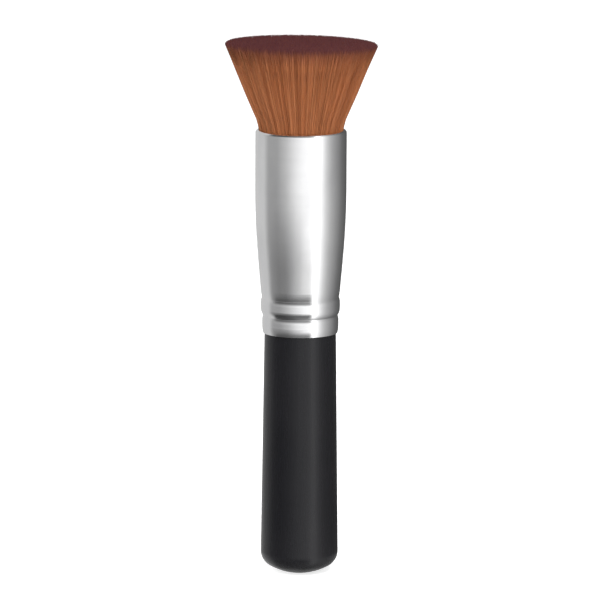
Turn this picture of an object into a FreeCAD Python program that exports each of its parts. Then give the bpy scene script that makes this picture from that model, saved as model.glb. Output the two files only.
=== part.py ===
import FreeCAD, Part
import math
import os

import Sketcher

# A round flat-top face brush that stands on its handle end: a turned handle, a drawn ferrule, a flared
# tuft of filaments, and the thread and glue inside that hold them together.
# Millimetres, +Z up along the brush, origin at the middle of the flat that it stands on.

driving_sizes = {
    # Fits: room left round every glued or pressed face, and how far a cutting outline runs past its solid.
    "fit_clearance": 0.05,
    "overrun": 1.0,
    # Ferrule: one drawn tube. Heights of its details are counted up from its lower end.
    "ferrule_radius": 12.0,
    "ferrule_length": 53.8,
    "ferrule_wall": 0.35,
    "mouth_lip_radius": 0.8,
    "barrel_length": 15.0,
    "taper_drop": 1.72,
    "bead_rise": 0.17,
    "band_step": 0.37,
    # Crimps: two grooves rolled into the tube, the upper one with a soft run-in off the taper, the lower one
    # closing on the tenon.
    "upper_crimp_height": 9.42,
    "lower_crimp_height": 4.6,
    "crimp_radius": 0.12,
    "crimp_run_in_radius": 20.0,
    "upper_crimp_depth": 0.12,
    # Handle: a slim cone that swells towards a domed end with a small flat, and a tenon for the ferrule.
    "handle_length": 64.3,
    "handle_swell": 0.82,
    "handle_dome_radius": 16.3,
    "handle_corner_radius": 4.2,
    "handle_foot_radius": 3.5,
    "tenon_length": 20.0,
    "tenon_chamfer": 0.8,
    "glue_gap": 0.29,
    # Tuft: straight in the mouth, bending out to a cone with a flat cut top; tied near its root.
    "tuft_height": 22.9,
    "tuft_spread": 9.05,
    "tuft_collar": 1.4,
    "tuft_bend_radius": 6.0,
    "tuft_rim_radius": 0.6,
    "lip_passage": 0.6,
    "shoulder_depth": 8.0,
    "tie_depth": 10.4,
    "tie_pinch": 1.2,
    "root_depth": 14.0,
    "root_pinch": 0.6,
    # Binding: thread wound side by side round the pinched root.
    "thread_radius": 0.3,
    "thread_overlap": 0.06,
    # Root glue: a cup round the root, with a hollow free surface towards the handle.
    "root_glue_rim": 1.2,
    "root_glue_floor": 2.0,
    "root_glue_hollow": 0.6,
}
thread_turns = 4
# The taper's rounded start as a share of the taper, the radius of the crimps' shoulders as a share of the
# distance between the crimps, and the end curl's height as a share of the lower crimp's.
blend_share = 0.33
shoulder_share = 0.64
curl_share = 0.47
# Where the tenon's collar of glue ends: below, between the crimps, and above, between the end of the upper
# crimp's run-in and the tenon's end.
glue_foot_share = 0.5
glue_head_share = 0.0789935
full_turn = 360
centre_end = 3
nearly = 1e-4

doc = FreeCAD.newDocument("face_brush")
sheet = doc.addObject("Spreadsheet::Sheet", "Sizes")
for row, (name, size) in enumerate(driving_sizes.items(), 1):
    sheet.set(f"A{row}", name.replace("_", " "))
    sheet.set(f"B{row}", str(size))
    sheet.setAlias(f"B{row}", name)
doc.recompute()

# Radii down the ferrule, each from the one above it, and the handle's from the ferrule's bore.
barrel = "Sizes.ferrule_radius"
neck = f"({barrel} - Sizes.taper_drop)"
bead = f"({neck} + Sizes.bead_rise)"
band = f"({bead} - Sizes.band_step)"
tenon = f"({band} - Sizes.ferrule_wall - Sizes.glue_gap)"
mouth = f"({barrel} - Sizes.mouth_lip_radius)"
bore = f"({barrel} - Sizes.ferrule_wall)"
upper_floor = f"({neck} - Sizes.upper_crimp_depth)"
lower_floor = f"({tenon} + Sizes.fit_clearance + Sizes.ferrule_wall)"
handle_end = f"({tenon} + Sizes.handle_swell)"

# The taper leaves the barrel on a large arc and passes the upper crimp at the neck's radius. The arc reaches
# as far up from the corner of barrel and taper as it does down.
taper_run = "(Sizes.ferrule_length - Sizes.barrel_length - Sizes.upper_crimp_height)"
blend_reach = f"({blend_share} * {taper_run})"
taper_angle = f"atan2(Sizes.taper_drop; {taper_run} - {blend_reach})"
blend_radius = f"({blend_reach} / tan({taper_angle} / 2))"

shoulder_radius = f"({shoulder_share} * (Sizes.upper_crimp_height - Sizes.lower_crimp_height))"
run_in_top = (
    "(Sizes.upper_crimp_height"
    " + sqrt((Sizes.crimp_run_in_radius + Sizes.crimp_radius)^2 - Sizes.crimp_run_in_radius^2))"
)

# The end curl's inside edge closes on the handle, which sets the curl's radius.
curl_height = f"({curl_share} * Sizes.lower_crimp_height)"
curl_drop = f"({band} - {tenon} - Sizes.fit_clearance)"
curl_radius = (
    f"(({curl_height}^2 + {curl_drop}^2 - Sizes.ferrule_wall^2)"
    f" / (2 * ({curl_drop} - Sizes.ferrule_wall)))"
)

# The binding's turns lie side by side.
thread_pitch = "(2 * Sizes.thread_radius - Sizes.thread_overlap)"
binding_height = f"({thread_turns - 1} * {thread_pitch} + 2 * Sizes.thread_radius)"

ferrule_base = "Sizes.handle_length"
mouth_height = "Sizes.handle_length + Sizes.ferrule_length"


def worked_out(expression):
    result = sheet.evalExpression(expression.replace("Sizes.", ""))
    return float(getattr(result, "Value", result))


def place(radius, height):
    return FreeCAD.Vector(worked_out(radius), worked_out(height), 0)


def new_body(name, base="0"):
    body = doc.addObject("PartDesign::Body", name)
    body.Label = name
    body.setExpression("Placement.Base.z", base)
    return body


def half_section(body, name):
    """A sketch on the upright plane through the axis: x is the radius, y the height."""
    sketch = body.newObject("Sketcher::SketchObject", name)
    plane = next(f for f in body.Origin.OriginFeatures if f.Role == "XZ_Plane")
    sketch.AttachmentSupport = [(plane, "")]
    sketch.MapMode = "FlatFace"
    return sketch


def bind(sketch, expression, kind, *places):
    datum = worked_out(expression)
    if kind == "Angle":
        datum = math.radians(datum)
    index = sketch.addConstraint(Sketcher.Constraint(kind, *places, datum))
    sketch.setExpression(f"Constraints[{index}]", expression)


def pin(sketch, geometry, end, radius=None, height=None):
    """Holds one end, or an arc's centre, at a radius and a height."""
    for kind, axis, expression in (("DistanceX", -2, radius), ("DistanceY", -1, height)):
        if expression == "0":
            sketch.addConstraint(Sketcher.Constraint("PointOnObject", geometry, end, axis))
        elif expression:
            bind(sketch, expression, kind, -1, 1, geometry, end)


def meet(sketch, one_end, other_end, kind="Coincident"):
    sketch.addConstraint(Sketcher.Constraint(kind, *one_end, *other_end))


def arc_between(start, finish, centre):
    """An arc that runs anticlockwise from start to finish."""
    angles = [math.atan2(p.y - centre.y, p.x - centre.x) for p in (start, finish)]
    if angles[1] < angles[0]:
        angles[1] += 2 * math.pi
    circle = Part.Circle(centre, FreeCAD.Vector(0, 0, 1), (start - centre).Length)
    return Part.ArcOfCircle(circle, *angles)


def centre_left_of(start, finish, radius):
    """The centre of an arc of this radius that lies on the left of the way from start to finish."""
    chord = finish - start
    left = FreeCAD.Vector(-chord.y, chord.x, 0).normalize()
    return (start + finish) / 2 + left * math.sqrt(radius**2 - chord.Length**2 / 4)


def draw(sketch, corners, joined=None):
    """Draws from corner to corner, anticlockwise round the section. A corner is its radius and height, with
    the radius of the arc that leads to it where that side is bowed, and "hollow" where it bows inwards.
    The outline closes on itself, or else joins the first of two ends in the sketch to the second."""
    points = [place(*corner[:2]) for corner in corners]
    bows = [corner[2:] for corner in corners]
    if joined:
        points = [sketch.getPoint(*joined[0]), *points, sketch.getPoint(*joined[1])]
        bows = [(), *bows, ()]
    else:
        points.append(points[0])
        bows.append(())
    sides = []
    for start, finish, bow in zip(points, points[1:], bows[1:]):
        if not bow:
            sides.append((sketch.addGeometry(Part.LineSegment(start, finish)), 1, 2))
            continue
        radius = worked_out(bow[0])
        if "hollow" in bow:
            arc = arc_between(finish, start, centre_left_of(finish, start, radius))
            sides.append((sketch.addGeometry(arc), 2, 1))
        else:
            arc = arc_between(start, finish, centre_left_of(start, finish, radius))
            sides.append((sketch.addGeometry(arc), 1, 2))
        bind(sketch, bow[0], "Radius", sides[-1][0])
    for before, after in zip(sides, sides[1:]):
        meet(sketch, (before[0], before[2]), after[:2])
    finish = (sides[-1][0], sides[-1][2])
    if joined:
        meet(sketch, joined[0], sides[0][:2])
        meet(sketch, finish, joined[1])
        sides = sides[1:]
    else:
        meet(sketch, finish, sides[0][:2])
    for side, corner in zip(sides, corners):
        pin(sketch, *side[:2], *corner[:2])


def draw_circle(sketch, x, y, radius):
    ring = sketch.addGeometry(Part.Circle(place(x, y), FreeCAD.Vector(0, 0, 1), worked_out(radius)))
    bind(sketch, radius, "Radius", ring)
    pin(sketch, ring, centre_end, x, y)


def turn(body, sketch, name, kind="PartDesign::Revolution"):
    """Turns the sketch about the axis, to add material or, as a groove, to take it away."""
    volume = body.Shape.Volume if kind == "PartDesign::Groove" else None
    feature = body.newObject(kind, name)
    feature.Profile = sketch
    feature.ReferenceAxis = (sketch, ["V_Axis"])
    feature.Angle = full_turn
    doc.recompute()
    if volume is not None and feature.Shape.Volume >= volume:
        raise RuntimeError(f"{name} takes nothing away")
    return feature


def rim(feature, radius, height):
    """The circular edge of this radius at this height."""
    for index, edge in enumerate(feature.Shape.Edges, 1):
        curve = edge.Curve
        if not isinstance(curve, Part.Circle):
            continue
        off = (curve.Radius - worked_out(radius), curve.Center.z - worked_out(height))
        if max(map(abs, off)) < nearly:
            return f"Edge{index}"
    raise RuntimeError(f"no edge of radius {radius} at {height} on {feature.Name}")


def round_off(body, name, radius, height, size, kind="PartDesign::Fillet"):
    base = body.Tip
    feature = body.newObject(kind, name)
    feature.Base = (base, [rim(base, radius, height)])
    feature.setExpression("Radius" if kind == "PartDesign::Fillet" else "Size", size)
    doc.recompute()
    return feature


def towards(start, finish, distance):
    return start + (finish - start).normalize() * distance


def wall_line(sketch, inset, stretch=None):
    """The ferrule's wall line, drawn downwards at an inset from its outer face: lip, barrel, blend, taper,
    upper crimp, bead, lower crimp, band and end curl, or only a stretch from a height on the taper to one on
    the bead. Every arc shares its centre with the outer face's, so that the tube has one wall thickness.
    Returns (geometry, upper end, lower end) for each side."""
    shoulder = worked_out(f"{shoulder_radius} - {inset}")
    reach = worked_out(f"{shoulder_radius} + Sizes.crimp_radius")
    run_in = worked_out(f"Sizes.crimp_run_in_radius - {inset}")
    run_in_reach = worked_out("Sizes.crimp_run_in_radius + Sizes.crimp_radius")
    angle = math.radians(worked_out(taper_angle))
    outward = FreeCAD.Vector(math.cos(angle), -math.sin(angle), 0)
    upward = FreeCAD.Vector(math.sin(angle), math.cos(angle), 0)

    def beside_crimp(crimp, land, way):
        """The centre of the shoulder between a crimp and the upright land on its upper or lower side."""
        x = worked_out(f"{land} - {shoulder_radius}")
        return FreeCAD.Vector(x, crimp.y + way * math.sqrt(reach**2 - (crimp.x - x) ** 2), 0)

    lip = place(mouth, "Sizes.ferrule_length - Sizes.mouth_lip_radius")
    blend = place(f"{barrel} - {blend_radius}", "Sizes.ferrule_length - Sizes.barrel_length")
    upper = place(f"{upper_floor} + Sizes.crimp_radius", "Sizes.upper_crimp_height")
    lower = place(f"{lower_floor} + Sizes.crimp_radius", "Sizes.lower_crimp_height")
    curl = place(f"{band} - {curl_radius}", curl_height)
    taper_top = blend + outward * worked_out(f"{blend_radius} - {inset}")
    beyond_taper = (taper_top - upper).dot(outward) - run_in
    above_upper = upper + outward * beyond_taper + upward * math.sqrt(run_in_reach**2 - beyond_taper**2)
    below_upper = beside_crimp(upper, bead, -1)
    above_lower = beside_crimp(lower, bead, 1)
    below_lower = beside_crimp(lower, band, -1)
    barrel_x = worked_out(f"{barrel} - {inset}")
    bead_x = worked_out(f"{bead} - {inset}")
    band_x = worked_out(f"{band} - {inset}")
    curl_run = worked_out(f"sqrt(({curl_radius} - {inset})^2 - {curl_height}^2)")

    joints = [
        FreeCAD.Vector(lip.x, lip.y + barrel_x - lip.x, 0),
        FreeCAD.Vector(barrel_x, lip.y, 0),
        FreeCAD.Vector(barrel_x, blend.y, 0),
        taper_top,
        above_upper + outward * run_in,
        towards(above_upper, upper, run_in),
        towards(below_upper, upper, shoulder),
        FreeCAD.Vector(bead_x, below_upper.y, 0),
        FreeCAD.Vector(bead_x, above_lower.y, 0),
        towards(above_lower, lower, shoulder),
        towards(below_lower, lower, shoulder),
        FreeCAD.Vector(band_x, below_lower.y, 0),
        FreeCAD.Vector(band_x, curl.y, 0),
        FreeCAD.Vector(curl.x + curl_run, 0, 0),
    ]
    # Each side is an arc, as its centre, its radius and whether it bulges outwards, or else straight.
    shoulder_inset = f"{shoulder_radius} - {inset}"
    crimp_inset = f"Sizes.crimp_radius + {inset}"
    sides = {
        "lip": (lip, f"Sizes.mouth_lip_radius - {inset}", True),
        "barrel": None,
        "blend": (blend, f"{blend_radius} - {inset}", True),
        "taper": None,
        "above upper crimp": (above_upper, f"Sizes.crimp_run_in_radius - {inset}", True),
        "upper crimp": (upper, crimp_inset, False),
        "below upper crimp": (below_upper, shoulder_inset, True),
        "bead": None,
        "above lower crimp": (above_lower, shoulder_inset, True),
        "lower crimp": (lower, crimp_inset, False),
        "below lower crimp": (below_lower, shoulder_inset, True),
        "band": None,
        "end curl": (curl, f"{curl_radius} - {inset}", True),
    }
    names = list(sides)
    if stretch:
        first, last = names.index("taper"), names.index("bead")
        start, finish = map(worked_out, stretch)
        joints[first] += upward * ((start - joints[first].y) / upward.y)
        joints[last + 1] = FreeCAD.Vector(bead_x, finish, 0)
        names = names[first : last + 1]
        joints = joints[first : last + 2]
    drawn = {}
    above = None
    for name, top, bottom in zip(names, joints, joints[1:]):
        side = sides[name]
        if side is None:
            here = (sketch.addGeometry(Part.LineSegment(bottom, top)), 2, 1)
        elif side[2]:
            here = (sketch.addGeometry(arc_between(bottom, top, side[0])), 2, 1)
        else:
            here = (sketch.addGeometry(arc_between(top, bottom, side[0])), 1, 2)
        if side:
            bind(sketch, side[1], "Radius", here[0])
        if above:
            meet(sketch, (above[0], above[2]), here[:2], "Tangent")
        drawn[name] = above = here

    def hold(name, at_top, radius=None, height=None):
        geometry, top_end, low_end = drawn[name]
        pin(sketch, geometry, top_end if at_top else low_end, radius, height)

    def hold_centre(name, radius, height):
        pin(sketch, drawn[name][0], centre_end, radius, height)

    upright = {"bead": bead}
    bind(sketch, f"90 deg - {taper_angle}", "Angle", drawn["taper"][0])
    hold_centre("upper crimp", f"{upper_floor} + Sizes.crimp_radius", "Sizes.upper_crimp_height")
    if stretch:
        hold("taper", True, None, stretch[0])
        hold("bead", False, None, stretch[1])
    else:
        upright.update({"barrel": barrel, "band": band})
        hold("lip", True, mouth)
        hold("lip", False, None, "Sizes.ferrule_length - Sizes.mouth_lip_radius")
        hold("barrel", False, None, "Sizes.ferrule_length - Sizes.barrel_length")
        hold_centre("lower crimp", f"{lower_floor} + Sizes.crimp_radius", "Sizes.lower_crimp_height")
        hold("end curl", True, None, curl_height)
        hold("end curl", False, None, "0")
    for name, radius in upright.items():
        sketch.addConstraint(Sketcher.Constraint("Vertical", drawn[name][0]))
        hold(name, True, f"{radius} - {inset}")
    return list(drawn.values())


def make_ferrule():
    body = new_body("ferrule", ferrule_base)
    outside = half_section(body, "outer_face")
    sides = wall_line(outside, "0")
    draw(
        outside,
        [("0", "0"), ("0", "Sizes.ferrule_length")],
        joined=((sides[-1][0], sides[-1][2]), sides[0][:2]),
    )
    turn(body, outside, "drawn_blank")
    inside = half_section(body, "inner_face")
    sides = wall_line(inside, "Sizes.ferrule_wall")
    closed_end = f"({tenon} + Sizes.fit_clearance)"
    draw(
        inside,
        [
            (closed_end, "-Sizes.overrun"),
            ("0", "-Sizes.overrun"),
            ("0", "Sizes.ferrule_length + Sizes.overrun"),
            (mouth, "Sizes.ferrule_length + Sizes.overrun"),
        ],
        joined=((sides[-1][0], sides[-1][2]), sides[0][:2]),
    )
    turn(body, inside, "bore", "PartDesign::Groove")
    return body


def make_handle():
    body = new_body("handle")
    outline = half_section(body, "turned_outline")
    dome_corner = (
        "(sqrt(Sizes.handle_dome_radius^2 - Sizes.handle_foot_radius^2)"
        f" - sqrt(Sizes.handle_dome_radius^2 - {handle_end}^2))"
    )
    tenon_top = "(Sizes.handle_length + Sizes.tenon_length)"
    draw(
        outline,
        [
            ("0", "0"),
            ("Sizes.handle_foot_radius", "0"),
            (handle_end, dome_corner, "Sizes.handle_dome_radius"),
            (tenon, "Sizes.handle_length"),
            (tenon, tenon_top),
            ("0", tenon_top),
        ],
    )
    turn(body, outline, "turned_wood")
    round_off(body, "soft_corner", handle_end, dome_corner, "Sizes.handle_corner_radius")
    round_off(body, "tenon_lead", tenon, tenon_top, "Sizes.tenon_chamfer", "PartDesign::Chamfer")
    return body


def make_tuft():
    body = new_body("bristle_tuft", mouth_height)
    outline = half_section(body, "tuft_outline")
    inside = f"({bore} - Sizes.fit_clearance)"
    passage = f"({mouth} - Sizes.fit_clearance)"
    spread = f"({passage} + Sizes.tuft_spread)"
    tied = f"({inside} - Sizes.tie_pinch)"
    root = f"({inside} - Sizes.root_pinch)"
    draw(
        outline,
        [
            ("0", "-Sizes.root_depth"),
            (root, "-Sizes.root_depth"),
            (tied, f"-(Sizes.tie_depth + {binding_height})"),
            (tied, "-Sizes.tie_depth"),
            (inside, "-Sizes.shoulder_depth"),
            (inside, "-(Sizes.mouth_lip_radius + Sizes.lip_passage)"),
            (passage, "-Sizes.ferrule_wall"),
            (passage, "Sizes.tuft_collar"),
            (spread, "Sizes.tuft_height"),
            ("0", "Sizes.tuft_height"),
        ],
    )
    turn(body, outline, "filament_bundle")
    round_off(body, "spring_of_flare", passage, "Sizes.tuft_collar", "Sizes.tuft_bend_radius")
    round_off(body, "trimmed_rim", spread, "Sizes.tuft_height", "Sizes.tuft_rim_radius")
    return body


def make_binding():
    body = new_body("root_binding", mouth_height)
    thread = half_section(body, "thread_section")
    tied = f"({bore} - Sizes.tie_pinch)"
    draw_circle(
        thread,
        f"{tied} + Sizes.thread_radius",
        "-(Sizes.tie_depth + Sizes.thread_radius)",
        "Sizes.thread_radius",
    )
    first_turn = turn(body, thread, "first_turn")
    turns = body.newObject("PartDesign::LinearPattern", "wound_turns")
    turns.Originals = [first_turn]
    turns.Direction = (thread, ["V_Axis"])
    turns.Reversed = True
    turns.setExpression("Length", f"{thread_turns - 1} * {thread_pitch}")
    turns.Occurrences = thread_turns
    body.Tip = turns
    doc.recompute()
    return body


def make_root_glue():
    body = new_body("root_adhesive", mouth_height)
    outline = half_section(body, "cup_outline")
    outer = f"({bore} - Sizes.fit_clearance)"
    seat = f"({outer} - Sizes.root_pinch + Sizes.fit_clearance)"
    floor_top = "-(Sizes.root_depth + Sizes.fit_clearance)"
    floor_bottom = "-(Sizes.root_depth + Sizes.root_glue_floor)"
    hollow_radius = f"(({outer}^2 + Sizes.root_glue_hollow^2) / (2 * Sizes.root_glue_hollow))"
    draw(
        outline,
        [
            ("0", f"{floor_bottom} + Sizes.root_glue_hollow"),
            (outer, floor_bottom, hollow_radius, "hollow"),
            (outer, "-(Sizes.root_depth - Sizes.root_glue_rim)"),
            (seat, "-(Sizes.root_depth - Sizes.root_glue_rim)"),
            (seat, floor_top),
            ("0", floor_top),
        ],
    )
    turn(body, outline, "poured_cup")
    return body


def make_tenon_glue():
    body = new_body("tenon_adhesive", ferrule_base)
    outline = half_section(body, "collar_outline")
    inset = "(Sizes.ferrule_wall + Sizes.fit_clearance)"
    foot = (
        f"(Sizes.lower_crimp_height + {glue_foot_share}"
        " * (Sizes.upper_crimp_height - Sizes.lower_crimp_height))"
    )
    top = f"({run_in_top} + {glue_head_share} * (Sizes.tenon_length - {run_in_top}))"
    inner = f"({tenon} + Sizes.fit_clearance)"
    sides = wall_line(outline, inset, (top, foot))
    draw(
        outline,
        [(inner, foot), (inner, top)],
        joined=((sides[-1][0], sides[-1][2]), sides[0][:2]),
    )
    turn(body, outline, "glue_collar")
    return body


bodies = [make_handle(), make_ferrule(), make_tuft(), make_binding(), make_root_glue(), make_tenon_glue()]
doc.recompute()

for thing in doc.Objects:
    if {"Invalid", "Error"} & set(thing.State):
        raise RuntimeError(f"{thing.Name} failed: {thing.State}")
    if thing.TypeId == "Sketcher::SketchObject" and thing.solve() != 0:
        raise RuntimeError(f"sketch {thing.Name} isn't solved")
for body in bodies:
    if body.Shape.isNull() or not body.Shape.isValid() or len(body.Shape.Solids) != 1:
        raise RuntimeError(f"{body.Label} isn't one valid solid")

os.makedirs("parts", exist_ok=True)
for body in bodies:
    body.Shape.exportStep(f"parts/{body.Label}.step")
    print(f"{body.Label}: {body.Shape.Volume:.1f} mm3, {len(body.Shape.Faces)} faces")
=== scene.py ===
import math
import random

import bmesh
import bpy
import numpy as np
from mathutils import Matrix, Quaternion, Vector, noise


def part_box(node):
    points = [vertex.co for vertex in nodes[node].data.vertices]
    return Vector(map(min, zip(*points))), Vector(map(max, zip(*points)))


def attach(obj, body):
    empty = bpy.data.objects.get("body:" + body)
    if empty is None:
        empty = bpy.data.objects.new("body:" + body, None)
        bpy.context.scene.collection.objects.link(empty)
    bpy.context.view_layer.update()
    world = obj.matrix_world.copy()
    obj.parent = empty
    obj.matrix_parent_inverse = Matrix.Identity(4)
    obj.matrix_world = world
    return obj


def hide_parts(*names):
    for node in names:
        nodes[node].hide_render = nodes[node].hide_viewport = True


# A round face brush standing on its handle end. The CAD solids are the handle, the ferrule and what is
# glued and tied inside; the tuft is made here, strand by strand.

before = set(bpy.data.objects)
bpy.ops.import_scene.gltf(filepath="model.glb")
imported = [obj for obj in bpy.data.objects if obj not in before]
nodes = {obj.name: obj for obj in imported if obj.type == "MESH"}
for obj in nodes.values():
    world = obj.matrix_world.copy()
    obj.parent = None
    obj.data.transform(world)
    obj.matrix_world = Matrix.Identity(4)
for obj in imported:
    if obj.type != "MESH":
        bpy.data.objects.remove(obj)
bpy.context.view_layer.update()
mm = 0.001
print("frame loaded")


def addObject(name, data):
    thing = bpy.data.objects.new(name, data)
    bpy.context.scene.collection.objects.link(thing)
    return thing


def meshFrom(bm, name):
    mesh = bpy.data.meshes.new(name)
    bm.to_mesh(mesh)
    bm.free()
    return mesh


# Camera: a long lens, a little above the level of the brush's middle.

cameraSetup = {
    "aimHeight": 69.88,  # mm up the brush
    "distance": 1300.0,  # mm
    "elevation": 9.5,  # degrees
    "lens": 295.9,  # mm
    "sensor": 36.0,  # mm
    "lean": 0.25,  # degrees that the brush leans to the right
    "shiftUp": 10.9,  # pixels
    "shiftRight": -0.3,  # pixels
    "pictureWidth": 600,  # pixels
}


def addCamera(setup):
    data = bpy.data.cameras.new("camera")
    data.lens = setup["lens"]
    data.sensor_width = setup["sensor"]
    data.shift_x = setup["shiftRight"] / setup["pictureWidth"]
    data.shift_y = setup["shiftUp"] / setup["pictureWidth"]
    camera = addObject("camera", data)
    elevation = math.radians(setup["elevation"])
    back = Vector((0, -math.cos(elevation), math.sin(elevation)))
    camera.location = Vector((0, 0, setup["aimHeight"] * mm)) + back * setup["distance"] * mm
    level = (-back).to_track_quat("-Z", "Y")
    camera.rotation_mode = "QUATERNION"
    camera.rotation_quaternion = level @ Quaternion((0, 0, 1), math.radians(setup["lean"]))
    bpy.context.scene.camera = camera


addCamera(cameraSetup)
print("camera placed")

# Helpers for the materials and the room. An input is a plain value or another node's output.

noiseSpan = (0.3, 0.7)  # where most of a noise's values lie
white = (1, 1, 1, 1)
black = (0, 0, 0, 1)


def feed(tree, node, inputs):
    for name, value in inputs.items():
        if isinstance(value, bpy.types.NodeSocket):
            tree.links.new(value, node.inputs[name])
        else:
            node.inputs[name].default_value = value


def addNode(tree, kind, inputs, **settings):
    node = tree.nodes.new(kind)
    for name, value in settings.items():
        setattr(node, name, value)
    feed(tree, node, inputs)
    return node


def newMaterial(name):
    material = bpy.data.materials.new(name)
    material.use_nodes = True
    tree = material.node_tree
    tree.nodes.clear()
    shader = addNode(tree, "ShaderNodeBsdfPrincipled", {})
    addNode(tree, "ShaderNodeOutputMaterial", {"Surface": shader.outputs["BSDF"]})
    return material, tree, shader


# Noise on object coordinates, squeezed or stretched along the brush's axes by its features per metre.
# Crumble is the weight of its finer detail.
def surfaceNoise(tree, pattern):
    place = addNode(tree, "ShaderNodeTexCoord", {})
    inputs = {"Vector": place.outputs["Object"], "Scale": pattern["perMetre"]}
    mapping = addNode(tree, "ShaderNodeMapping", inputs)
    inputs = {
        "Vector": mapping.outputs["Vector"],
        "Scale": 1.0,
        "Detail": pattern["detail"],
        "Roughness": pattern["crumble"],
    }
    return addNode(tree, "ShaderNodeTexNoise", inputs).outputs["Fac"]


def calculate(tree, operation, first, second):
    node = addNode(tree, "ShaderNodeMath", {0: first, 1: second}, operation=operation)
    return node.outputs["Value"]


def remap(tree, value, fromLow, fromHigh, toLow, toHigh):
    inputs = dict(enumerate((value, fromLow, fromHigh, toLow, toHigh)))
    return addNode(tree, "ShaderNodeMapRange", inputs).outputs["Result"]


def colourRamp(tree, value, stops):
    node = addNode(tree, "ShaderNodeValToRGB", {"Fac": value})
    ramp = node.color_ramp
    while len(ramp.elements) < len(stops):
        ramp.elements.new(0.5)
    for element, (position, colour) in zip(ramp.elements, stops):
        element.position = position
        element.color = (*colour, 1.0)
    return node.outputs["Color"]


def greyRamp(tree, value, stops):
    return colourRamp(tree, value, [(position, (level,) * 3) for position, level in stops])


def mixColours(tree, share, first, second, manner="MIX"):
    inputs = {"Factor": share, "A": first, "B": second}
    node = addNode(tree, "ShaderNodeMix", inputs, data_type="RGBA", blend_type=manner)
    return node.outputs["Result"]


# Bumps laid over one another: each is a noise and the pattern it came from, which has the depth in mm.
def bumpFrom(tree, layers):
    inputs = {"Strength": 1.0}
    for height, pattern in layers:
        inputs.update({"Height": height, "Distance": pattern["depth"] * mm})
        inputs["Normal"] = addNode(tree, "ShaderNodeBump", inputs).outputs["Normal"]
    return inputs["Normal"]


def dress(node, material):
    nodes[node].data.materials.clear()
    nodes[node].data.materials.append(material)


# Handle: satin black lacquer over turned wood.

lacquer = {
    "tint": [(0.35, (0.0030, 0.0030, 0.0046)), (0.65, (0.0052, 0.0050, 0.0066))],  # over the cloud
    "cloud": {"perMetre": (70, 70, 40), "detail": 2.0, "crumble": 0.5},
    "gloss": 0.37,
    "roughness": (0.24, 0.32),  # over the grain
    "grain": {"perMetre": (900, 900, 35), "detail": 3.0, "crumble": 0.6, "depth": 0.004},
    "orangePeel": {"perMetre": (750, 750, 750), "detail": 1.0, "crumble": 0.5, "depth": 0.006},
}


def lacquerMaterial(look):
    material, tree, shader = newMaterial("satinBlackLacquer")
    cloud = surfaceNoise(tree, look["cloud"])
    grain = surfaceNoise(tree, look["grain"])
    peel = surfaceNoise(tree, look["orangePeel"])
    feed(tree, shader, {
        "Base Color": colourRamp(tree, cloud, look["tint"]),
        "Specular IOR Level": look["gloss"],
        "Roughness": remap(tree, grain, *noiseSpan, *look["roughness"]),
        "Normal": bumpFrom(tree, [(grain, look["grain"]), (peel, look["orangePeel"])]),
    })
    return material


dress("handle", lacquerMaterial(lacquer))
print("handle lacquered")

# Ferrule: drawn aluminium, polished on the lathe.

metal = {
    "tint": [(0.3, (0.80, 0.80, 0.81)), (0.6, (0.90, 0.90, 0.905))],  # over the cloud
    "cloud": {"perMetre": (90, 90, 60), "detail": 3.0, "crumble": 0.5},
    "roughness": (0.13, 0.22),  # over the polishing lines
    "polishLines": {"perMetre": (40, 40, 7000), "detail": 3.0, "crumble": 0.6, "depth": 0.0006},
}


def metalMaterial(look):
    material, tree, shader = newMaterial("satinAluminium")
    cloud = surfaceNoise(tree, look["cloud"])
    lines = surfaceNoise(tree, look["polishLines"])
    feed(tree, shader, {
        "Metallic": 1.0,
        "Base Color": colourRamp(tree, cloud, look["tint"]),
        "Roughness": remap(tree, lines, *noiseSpan, *look["roughness"]),
        "Normal": bumpFrom(tree, [(lines, look["polishLines"])]),
    })
    return material


dress("ferrule", metalMaterial(metal))
print("ferrule polished")

# Root binding: pale thread, wound tightly.

thread = {
    "tint": [(0.3, (0.42, 0.37, 0.29)), (0.6, (0.72, 0.68, 0.58))],  # over the fibres
    "roughness": 0.75,
    "fibres": {"perMetre": (2500, 2500, 9000), "detail": 3.0, "crumble": 0.6, "depth": 0.04},
}


def threadMaterial(look):
    material, tree, shader = newMaterial("bindingThread")
    fibres = surfaceNoise(tree, look["fibres"])
    feed(tree, shader, {
        "Base Color": colourRamp(tree, fibres, look["tint"]),
        "Roughness": look["roughness"],
        "Normal": bumpFrom(tree, [(fibres, look["fibres"])]),
    })
    return material


dress("root_binding", threadMaterial(thread))
print("root bound")

# Glue: amber resin round the tuft's root, and a paler one between the ferrule and the tenon.

rootResin = {
    "tint": [(0.35, (0.46, 0.33, 0.17)), (0.65, (0.60, 0.47, 0.28))],  # over the cloud
    "cloud": {"perMetre": (300, 300, 300), "detail": 3.0, "crumble": 0.5, "depth": 0.02},
    "roughness": (0.12, 0.25),
}

tenonGlue = {
    "tint": [(0.35, (0.70, 0.67, 0.58)), (0.65, (0.78, 0.76, 0.69))],
    "cloud": {"perMetre": (300, 300, 300), "detail": 3.0, "crumble": 0.5, "depth": 0.02},
    "roughness": (0.45, 0.6),
}


def glueMaterial(name, look):
    material, tree, shader = newMaterial(name)
    cloud = surfaceNoise(tree, look["cloud"])
    feed(tree, shader, {
        "Base Color": colourRamp(tree, cloud, look["tint"]),
        "Roughness": remap(tree, cloud, *noiseSpan, *look["roughness"]),
        "Normal": bumpFrom(tree, [(cloud, look["cloud"])]),
    })
    return material


dress("root_adhesive", glueMaterial("amberResin", rootResin))
dress("tenon_adhesive", glueMaterial("paleGlue", tenonGlue))
print("glue coloured")

# Filament: orange-brown, dip-dyed at the tips, with painted shade that darkens it towards the ferrule's
# mouth. It reads the strands' own map, whose width is the tone of each strand and whose height is the way
# from root to tip.

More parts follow.
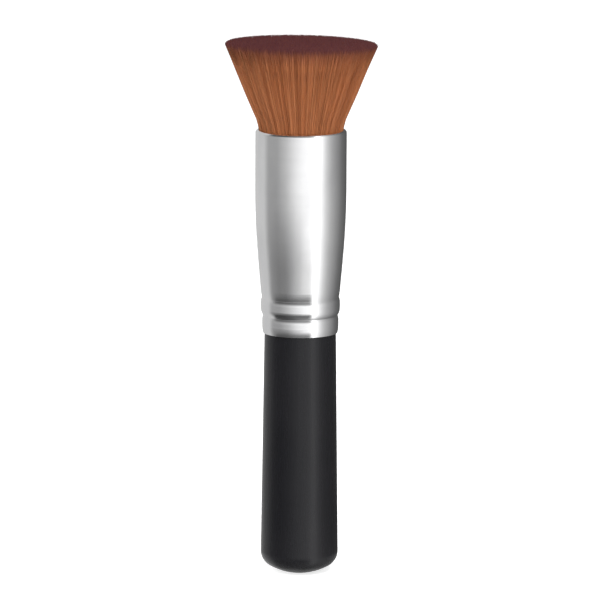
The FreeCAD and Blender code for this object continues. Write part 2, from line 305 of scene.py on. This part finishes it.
filament = {
    "tones": [  # from the darkest strand to the palest
        (0.0, (0.372, 0.118, 0.043)),
        (0.3, (0.428, 0.143, 0.054)),
        (0.6, (0.476, 0.166, 0.064)),
        (0.85, (0.520, 0.198, 0.082)),
        (1.0, (0.565, 0.246, 0.110)),
    ],
    "dye": (0.061, 0.0175, 0.0210),
    "dyeTaken": [  # way from root to tip and share of dye
        (0.770, 0.0), (0.848, 0.11), (0.878, 0.18), (0.905, 0.32), (0.935, 0.45), (0.965, 0.62),
        (0.985, 0.82), (0.998, 1.0),
    ],
    "dyeSpread": 0.012,  # of the way, up or down, for each strand
    "dyeNoise": {"scale": 90.0, "detail": 2.0, "span": (0.25, 0.75)},
    # painted shade: way from root to tip and the share of colour kept, darker towards the ferrule's mouth
    "paintedMouthShade": [(0.3, 0.6), (0.37, 0.76), (0.45, 0.88), (0.57, 0.95), (0.72, 1.0)],  # shade at the mouth
    "roughness": 0.42,
    "gloss": 0.18,
}


def filamentMaterial(look):
    material, tree, shader = newMaterial("dyedFilament")
    uv = addNode(tree, "ShaderNodeUVMap", {}, uv_map="OFBake")
    split = addNode(tree, "ShaderNodeSeparateXYZ", {"Vector": uv.outputs["UV"]})
    tone, way = split.outputs["X"], split.outputs["Y"]
    inputs = {"W": tone, "Scale": look["dyeNoise"]["scale"], "Detail": look["dyeNoise"]["detail"]}
    scatter = addNode(tree, "ShaderNodeTexNoise", inputs, noise_dimensions="1D").outputs["Fac"]
    offset = remap(tree, scatter, *look["dyeNoise"]["span"], -look["dyeSpread"], look["dyeSpread"])
    dyed = greyRamp(tree, calculate(tree, "ADD", way, offset), look["dyeTaken"])
    body = colourRamp(tree, tone, look["tones"])
    tinted = mixColours(tree, dyed, body, (*look["dye"], 1.0))
    # painted shade, multiplied into the colour below: the strands darken towards the ferrule's mouth
    paintedMouthShade = greyRamp(tree, way, look["paintedMouthShade"])
    feed(tree, shader, {
        "Base Color": mixColours(tree, 1.0, tinted, paintedMouthShade, "MULTIPLY"),
        "Roughness": look["roughness"],
        "Specular IOR Level": look["gloss"],
    })
    return material


# Tuft: single strands, tied at the root, straight through the mouth, then flared and cut flat. Heights are
# in mm above the ferrule's rim, and the CAD sets the rim, the root, the cut and the tie, each to a tenth.

rim = round(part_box("ferrule")[1].z / mm, 1)
root, cut = (round(corner.z / mm - rim, 1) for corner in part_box("bristle_tuft"))
tieLow, tieHigh = (round(corner.z / mm - rim, 1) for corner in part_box("root_binding"))

tuft = {
    "outline": [  # height and radius, mm
        (root, 10.9), (tieLow, 10.3), (tieHigh, 10.3), (-8.0, 11.45), (-1.4, 11.45), (-0.4, 11.1),
        (0.2, 11.15), (1.2, 11.4), (2.8, 11.85), (5.0, 12.85), (9.4, 14.75), (16.0, 17.45),
        (cut, 20.15),
    ],
    "skinRings": [root, tieLow, tieHigh, -8.0, -0.4, 1.2, 2.8, 9.0, 16.0, cut],
    "coreRings": [root, tieHigh, 1.2, cut],
    "strands": 36000,
    "skinShare": 0.26,  # of the strands: the outer ones, which show along their length
    "packedShare": 0.993,  # of the outline's radius, for the middle of the outermost strand
    "sectors": 3,  # pieces that skin and core are each made in
    "thickness": [(root, 0.1), (9.0, 0.095), (cut, 0.055)],  # height and size across, mm
    "girth": (0.8, 1.15),  # times the thickness, for each strand
    "cutScatter": 0.13,  # mm
    "cutTilt": 0.8,  # degrees down to the right
    "rimDrop": (0.95, 0.7),  # from this share of the radius outwards the cut rounds off by so many mm
    "clumpSize": 1.1,  # mm across where the radius is the next value
    "clumpRadius": 11.2,
    "clumpPull": 0.14,  # mm at the tips
    "clumpTone": 0.12,
    "stray": 0.1,  # mm, each tip for itself
    "strayTone": 0.42,
    "swayPower": 1.5,  # how pull and stray grow from the rim to the tips
    "toneStep": 0.002,  # between a strand's corners, so that its sides have some width on the map
    "seed": 11,
}


def along(table, height):
    heights, values = zip(*table)
    return float(np.interp(height, heights, values))


# A strand's place, as a share of the outline, and its own habits.
def drawStrand(share, angle, look, dice):
    at = Vector((math.cos(angle), math.sin(angle), 0)) * share
    clump = noise.noise_vector(at * (look["clumpRadius"] / look["clumpSize"]))
    tone = 0.5 + look["clumpTone"] * clump.z + dice.uniform(-look["strayTone"], look["strayTone"])
    stray = Vector((dice.gauss(0, 1), dice.gauss(0, 1), 0)) * look["stray"]
    tilt = at.x * look["outline"][-1][1] * math.tan(math.radians(look["cutTilt"]))
    dropStart, dropDepth = look["rimDrop"]
    drop = dropDepth * (max(0.0, share - dropStart) / (1 - dropStart)) ** 2
    return {
        "at": at,
        "pull": Vector((clump.x, clump.y, 0)) * look["clumpPull"] + stray,
        "cut": -abs(dice.gauss(0, look["cutScatter"])) - tilt - drop,
        "turn": dice.uniform(0, 2 * math.pi),
        "girth": dice.uniform(*look["girth"]),
        "tone": min(max(tone, 0.0), 1.0) * (1 - 2 * look["toneStep"]),  # the last corner's is two steps more
    }


# Turns what each vertex holds into the map.
def layMap(mesh):
    values = np.empty((2, len(mesh.vertices)), np.float32)
    mesh.attributes["tone"].data.foreach_get("value", values[0])
    mesh.attributes["along"].data.foreach_get("value", values[1])
    corners = np.empty(len(mesh.loops), np.int32)
    mesh.loops.foreach_get("vertex_index", corners)
    layer = mesh.uv_layers.new(name="OFBake")
    layer.uv.foreach_set("vector", values[:, corners].T.ravel())
    for spent in ("tone", "along", "strand"):
        mesh.attributes.remove(mesh.attributes[spent])


# Three-sided strands, drawn out ring by ring from a triangle at the root.
def strandPiece(name, starts, rings, look, dice):
    bm = bmesh.new()
    toneLayer = bm.verts.layers.float.new("tone")
    alongLayer = bm.verts.layers.float.new("along")
    strandLayer = bm.faces.layers.int.new("strand")
    strands, tips, bases = [], [], []
    for number, (share, angle) in enumerate(starts):
        strand = drawStrand(share, angle, look, dice)
        strands.append(strand)
        corners = [bm.verts.new((0, 0, 0)) for _ in range(3)]
        for corner, vert in enumerate(corners):
            vert[toneLayer] = strand["tone"] + look["toneStep"] * corner
        face = bm.faces.new(corners)
        face[strandLayer] = number
        tips.append(face)
        bases.append(corners)

    def settle(faces, height):
        radius = along(look["outline"], height)
        cornerRadius = along(look["thickness"], height) / math.sqrt(3)
        sway = max(0.0, height / rings[-1]) ** look["swayPower"]
        level = (height - rings[0]) / (rings[-1] - rings[0])
        for face in faces:
            strand = strands[face[strandLayer]]
            centre = strand["at"] * radius + strand["pull"] * sway
            lift = height + (strand["cut"] if height == rings[-1] else 0.0)
            reach = cornerRadius * strand["girth"]
            for corner, vert in enumerate(face.verts):
                turn = strand["turn"] + corner * 2 * math.pi / 3
                vert.co = (
                    (centre.x + reach * math.cos(turn)) * mm,
                    (centre.y + reach * math.sin(turn)) * mm,
                    (rim + lift) * mm,
                )
                vert[alongLayer] = level

    settle(tips, rings[0])
    for height in rings[1:]:
        tips = bmesh.ops.extrude_discrete_faces(bm, faces=tips)["faces"]
        settle(tips, height)
    for corners in bases:
        bm.faces.new(reversed(corners))
    for face in bm.faces:
        face.smooth = True
    mesh = meshFrom(bm, name)
    layMap(mesh)
    return addObject(name, mesh)


def buildTuft(look):
    dice = random.Random(look["seed"])
    noise.seed_set(look["seed"])
    skin, core = [], []
    inner = math.sqrt(1 - look["skinShare"])
    for _ in range(look["strands"]):
        share, angle = math.sqrt(dice.random()), dice.uniform(0, 2 * math.pi)
        (skin if share > inner else core).append((share * look["packedShare"], angle))
    material = filamentMaterial(filament)
    for layer, starts, rings in (("skin", skin, look["skinRings"]), ("core", core, look["coreRings"])):
        starts.sort(key=lambda start: start[1])
        most = math.ceil(len(starts) / look["sectors"])
        for number in range(look["sectors"]):
            part = starts[number * most : (number + 1) * most]
            piece = strandPiece(f"tuft_{layer}_{number + 1}", part, rings, look, dice)
            piece.data.materials.append(material)
            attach(piece, "root")
            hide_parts("bristle_tuft")
            print(piece.name, len(part), "strands", len(piece.data.polygons), "faces")


buildTuft(tuft)
print("tuft made")

# Floor: white to the camera, and pale for the light that it gives back.

floorLook = {
    "size": 6000.0,  # mm
    "colour": (0.80, 0.80, 0.80),
    "roughness": 0.9,
    "glow": 0.75,
}


def addFloor(look):
    bm = bmesh.new()
    bmesh.ops.create_grid(bm, x_segments=1, y_segments=1, size=look["size"] * mm)
    floor = addObject("floor", meshFrom(bm, "floor"))
    floor.visible_glossy = False
    material, tree, shader = newMaterial("paleFloor")
    path = addNode(tree, "ShaderNodeLightPath", {})
    feed(tree, shader, {
        "Base Color": (*look["colour"], 1.0),
        "Roughness": look["roughness"],
        "Specular IOR Level": 0.0,
        "Emission Color": white,
        "Emission Strength": calculate(tree, "MULTIPLY", path.outputs["Is Camera Ray"], look["glow"]),
    })
    floor.data.materials.append(material)


addFloor(floorLook)
print("floor laid")

# Room: white to the camera, and what the metal and the lacquer mirror. Its brightness goes by degrees round
# the brush, 0 towards the camera and more to the right. Two parts are darker: a dim one left of the camera,
# from just below the level down, and a dark one well above and well below the level. Heights are the sine of
# the way up or down. The dark part's turns are tangents: of how far a surface is turned that mirrors this
# part to the camera.

room = {
    "round": [  # degrees and brightness
        (-180, 0.60), (-106, 0.60), (-91, 0.38), (-62, 0.38), (-37, 0.60), (-11, 0.98), (4, 1.15),
        (20, 1.20), (31, 1.32), (43, 1.95), (50, 1.45), (55, 1.16), (61, 0.94), (68, 0.72),
        (83, 0.46), (101, 0.31), (124, 0.17), (150, 0.11), (180, 0.11),
    ],
    "dimTurns": [  # degrees and share taken away
        (-110, 0.0), (-90, 0.55), (-75, 0.75), (-60, 0.86), (-45, 1.0), (-30, 0.90), (-15, 0.75),
        (0, 0.63), (15, 0.14), (30, 0.0), (45, 0.0),
    ],
    "dimHeights": [
        (-1.0, 0.85), (-0.5, 0.85), (-0.407, 0.78), (-0.357, 0.68), (-0.336, 0.62), (-0.30, 0.55),
        (-0.257, 0.48), (-0.215, 0.32), (-0.19, 0.17), (-0.165, 0.0), (1.0, 0.0),
    ],
    "darkTurns": [(-1.2, 0.0), (-1.01, 0.0), (-0.80, 1.0), (0.26, 1.0), (0.36, 0.0), (1.2, 0.0)],
    "darkHeights": [
        (-1.0, 0.8), (-0.75, 0.84), (-0.6, 0.87), (-0.46, 0.82), (-0.42, 0.74), (-0.39, 0.63),
        (-0.36, 0.49), (-0.334, 0.34), (-0.295, 0.0), (0.08, 0.0), (0.3, 0.6), (0.5, 0.8), (1.0, 0.8),
    ],
}


# Degrees round the brush as a share of a full turn: 0.5 is towards the camera, more is to the right.
def turnShare(tree, sideways, deep):
    turn = calculate(tree, "ARCTAN2", sideways, calculate(tree, "MULTIPLY", deep, -1.0))
    return remap(tree, turn, -math.pi, math.pi, 0.0, 1.0)


# The tangent of the turn of a surface that shows the camera this direction, whatever the surface's tilt.
def surfaceTurn(tree, sideways, deep):
    lookAlong = math.cos(math.radians(cameraSetup["elevation"]))
    return calculate(tree, "DIVIDE", sideways, calculate(tree, "SUBTRACT", lookAlong, deep))


def roundStops(table):
    return [((degrees + 180) / 360, level) for degrees, level in table]


def spanStops(table, reach=1.0):
    return [((place / reach + 1) / 2, level) for place, level in table]


def addRoom(look):
    world = bpy.data.worlds.new("studio")
    bpy.context.scene.world = world
    world.use_nodes = True
    tree = world.node_tree
    tree.nodes.clear()
    place = addNode(tree, "ShaderNodeTexCoord", {})
    split = addNode(tree, "ShaderNodeSeparateXYZ", {"Vector": place.outputs["Generated"]})
    sideways, deep, upward = split.outputs
    turn = turnShare(tree, sideways, deep)
    up = remap(tree, upward, -1.0, 1.0, 0.0, 1.0)
    reach = look["darkTurns"][-1][0]
    across = remap(tree, surfaceTurn(tree, sideways, deep), -reach, reach, 0.0, 1.0)
    dim = calculate(
        tree, "MULTIPLY",
        greyRamp(tree, turn, roundStops(look["dimTurns"])),
        greyRamp(tree, up, spanStops(look["dimHeights"])),
    )
    dark = calculate(
        tree, "MULTIPLY",
        greyRamp(tree, across, spanStops(look["darkTurns"], reach)),
        greyRamp(tree, up, spanStops(look["darkHeights"])),
    )
    ring = greyRamp(tree, turn, roundStops(look["round"]))
    dimmed = mixColours(tree, calculate(tree, "MAXIMUM", dim, dark), ring, black)
    path = addNode(tree, "ShaderNodeLightPath", {})
    shown = mixColours(tree, path.outputs["Is Camera Ray"], dimmed, white)
    background = addNode(tree, "ShaderNodeBackground", {"Color": shown})
    addNode(tree, "ShaderNodeOutputWorld", {"Surface": background.outputs["Background"]})


addRoom(room)
print("room painted")

# Lamps: two soft ones that show in no mirror, and the pale floor as the handle's dome mirrors it.

lamps = {  # degrees round from the camera and up, mm and watts
    "key": {"turn": 14, "rise": 50, "distance": 1300.0, "aimHeight": 80.0, "size": 700.0, "power": 20},
    "fill": {"turn": -55, "rise": 30, "distance": 1300.0, "aimHeight": 80.0, "size": 900.0, "power": 9},
}

bounce = {"lift": 0.2, "size": 50.0, "power": 0.0018}  # mm above the floor, mm and watts


# A round lamp that shines back against the direction named away.
def addLamp(name, setup, place, away):
    data = bpy.data.lights.new(name, "AREA")
    data.shape = "DISK"
    data.size = setup["size"] * mm
    data.energy = setup["power"]
    lamp = addObject(name, data)
    lamp.location = place
    lamp.rotation_mode = "QUATERNION"
    lamp.rotation_quaternion = away.to_track_quat("Z", "Y")
    return lamp


def addSoftLamp(name, setup):
    turn, rise = math.radians(setup["turn"]), math.radians(setup["rise"])
    away = Vector((math.sin(turn) * math.cos(rise), -math.cos(turn) * math.cos(rise), math.sin(rise)))
    aim = Vector((0, 0, setup["aimHeight"] * mm))
    lamp = addLamp(name, setup, aim + away * (setup["distance"] * mm), away)
    lamp.visible_glossy = False


def addBounce(setup):
    lamp = addLamp("bounce", setup, (0, 0, setup["lift"] * mm), Vector((0, 0, -1)))
    lamp.visible_camera = False


for name, setup in lamps.items():
    addSoftLamp(name, setup)
addBounce(bounce)
bpy.context.scene.view_settings.view_transform = "Standard"
print("lamps lit")
